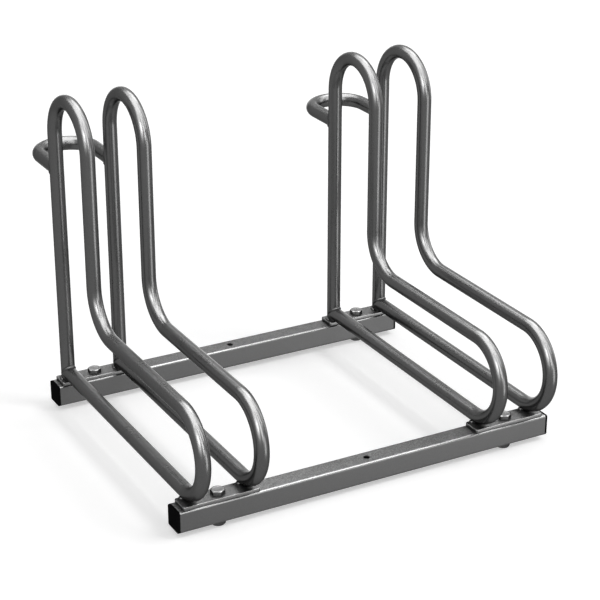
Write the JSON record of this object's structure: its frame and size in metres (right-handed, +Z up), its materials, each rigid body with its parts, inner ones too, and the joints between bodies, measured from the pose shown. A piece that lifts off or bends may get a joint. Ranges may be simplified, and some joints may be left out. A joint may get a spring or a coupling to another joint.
{
  "type": "floor bike rack",
  "caption": "Floor rack with bent tube loops in pairs that hold bicycle wheels upright, on square base rails.",
  "frame": {"origin": "on the floor, at the middle of the rack's outline seen from above", "axes": "+Z up, +X along the base rails to the right as seen from the front, +Y to the rear, where the hoops are"},
  "size_m": [0.56, 0.5614, 0.4749],
  "materials": {
    "rail_steel": "zinc-plated square steel tube, satin, fine grain",
    "cap_plastic": "black moulded plastic, fine matt",
    "tube_steel": "zinc-plated bent round tube, semi-gloss dark grey",
    "plate_steel": "zinc-plated flat bar, satin",
    "fastener_steel": "zinc-plated bolt steel",
    "weld_steel": "weld bead, plated over with the tubes"
  },
  "bodies": {
    "root": {"front_rail": "rail_steel", "rear_rail": "rail_steel", "front_left_end_cap": "cap_plastic", "front_right_end_cap": "cap_plastic", "rear_left_end_cap": "cap_plastic", "rear_right_end_cap": "cap_plastic", "left_bay_outer_loop": "tube_steel", "left_bay_inner_loop": "tube_steel", "right_bay_inner_loop": "tube_steel", "right_bay_outer_loop": "tube_steel", "left_rear_hoop": "tube_steel", "right_rear_hoop": "tube_steel", "front_left_foot_plate": "plate_steel", "front_right_foot_plate": "plate_steel", "rear_left_foot_plate": "plate_steel", "rear_right_foot_plate": "plate_steel", "hex_bolts": "fastener_steel", "hex_nuts": "fastener_steel", "left_hoop_welds": "weld_steel", "right_hoop_welds": "weld_steel", "left_corner_welds": "weld_steel", "right_corner_welds": "weld_steel", "left_rear_foot_welds": "weld_steel", "right_rear_foot_welds": "weld_steel", "left_front_foot_welds": "weld_steel", "right_front_foot_welds": "weld_steel"}
  },
  "joints": []
}
